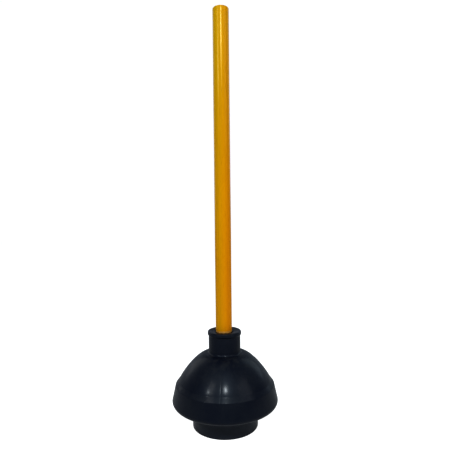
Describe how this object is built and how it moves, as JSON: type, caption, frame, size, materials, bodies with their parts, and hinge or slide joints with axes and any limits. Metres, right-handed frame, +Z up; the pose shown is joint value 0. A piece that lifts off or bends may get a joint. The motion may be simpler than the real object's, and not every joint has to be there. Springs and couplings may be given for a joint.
{
  "type": "plunger",
  "caption": "Flanged rubber force cup on a straight lacquered wooden handle; the cup flexes for the stroke and its flange tucks up inside.",
  "frame": {"origin": "centre of the flange's bottom edge, on the surface the plunger stands on", "axes": "+Z up the handle; X and Y are level and interchangeable"},
  "size_m": [0.1524, 0.1524, 0.6025],
  "materials": {
    "black_rubber": "satin moulded rubber, faintly blue-black",
    "lacquered_wood": "amber lacquered dowel with long grain and a pale bare lower edge"
  },
  "bodies": {
    "flange": {"flange_skirt": "black_rubber", "fold_web": "black_rubber"},
    "rim": {"rim_band": "black_rubber", "dome_wall": "black_rubber"},
    "collar": {"collar": "black_rubber"},
    "handle": {"handle": "lacquered_wood"}
  },
  "joints": [
    {"name": "flange_fold", "type": "slide", "parent": "flange", "child": "rim", "axis": [0, 0, 1], "range_m": [-0.0308, 0], "deforming": ["fold_web"]},
    {"name": "plunge", "type": "slide", "parent": "rim", "child": "collar", "axis": [0, 0, 1], "range_m": [-0.035, 0], "stiffness_N_per_m": 2500, "springref_m": 0.003, "deforming": ["dome_wall"]},
    {"name": "handle_unscrew", "type": "hinge", "parent": "collar", "child": "handle", "pos_m": [0, 0, 0.1344], "axis": [0, 0, 1], "range_deg": [0, 2520]}
  ]
}
